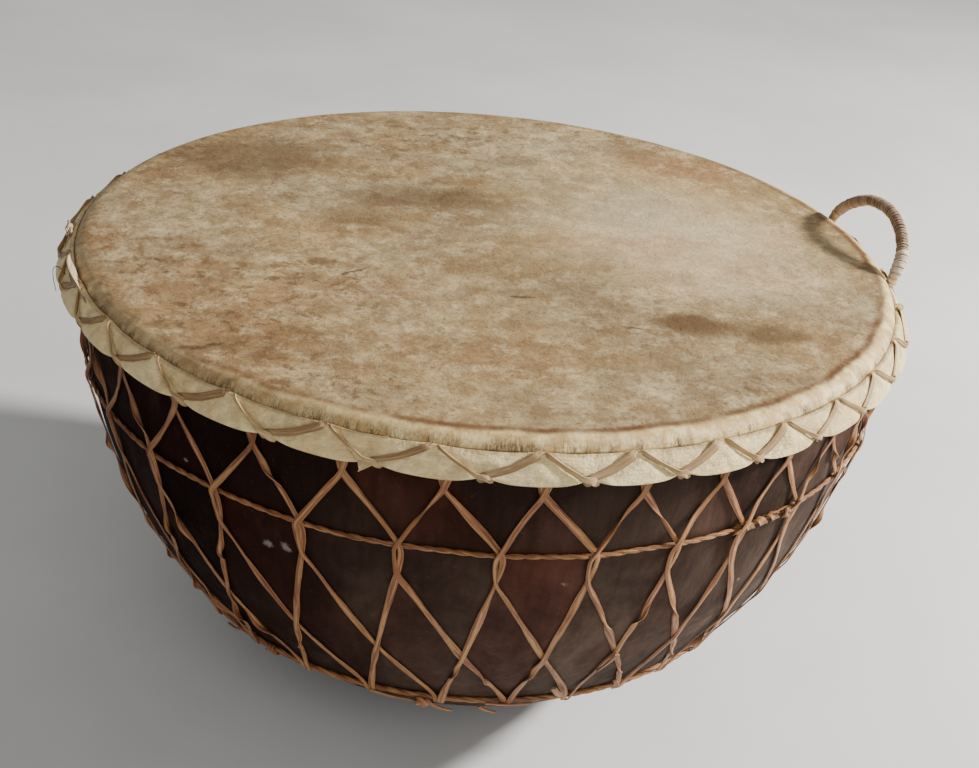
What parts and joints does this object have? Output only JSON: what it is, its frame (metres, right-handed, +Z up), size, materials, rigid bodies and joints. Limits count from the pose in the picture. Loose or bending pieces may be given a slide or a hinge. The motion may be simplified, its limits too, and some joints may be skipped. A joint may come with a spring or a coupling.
{
  "type": "kettledrum",
  "caption": "Bowl-shaped kettledrum: carved dark wooden shell, hide head held by a white rawhide collar and thong lacing, and a bound loop handle at the rim.",
  "frame": {"origin": "centre of the flat foot, on the surface the drum stands on", "axes": "+Z up along the drum's axis, +X from the axis towards the loop handle, +Y completes the right-handed frame"},
  "size_m": [0.6296, 0.624, 0.3732],
  "materials": {
    "dark_wood": "dark stained, satin, worn",
    "worn_hide": "mottled rawhide, matt",
    "white_rawhide": "pale rawhide, satin",
    "thong_rawhide": "twisted rawhide thong, satin",
    "handle_wrap": "close-wound binding, matt"
  },
  "bodies": {
    "root": {"shell": "dark_wood", "drum_head": "worn_hide", "rim_collar": "white_rawhide", "collar_lacing": "thong_rawhide", "side_lacing": "thong_rawhide", "waist_cord": "thong_rawhide", "foot_cord": "thong_rawhide", "handle": "handle_wrap"}
  },
  "joints": []
}
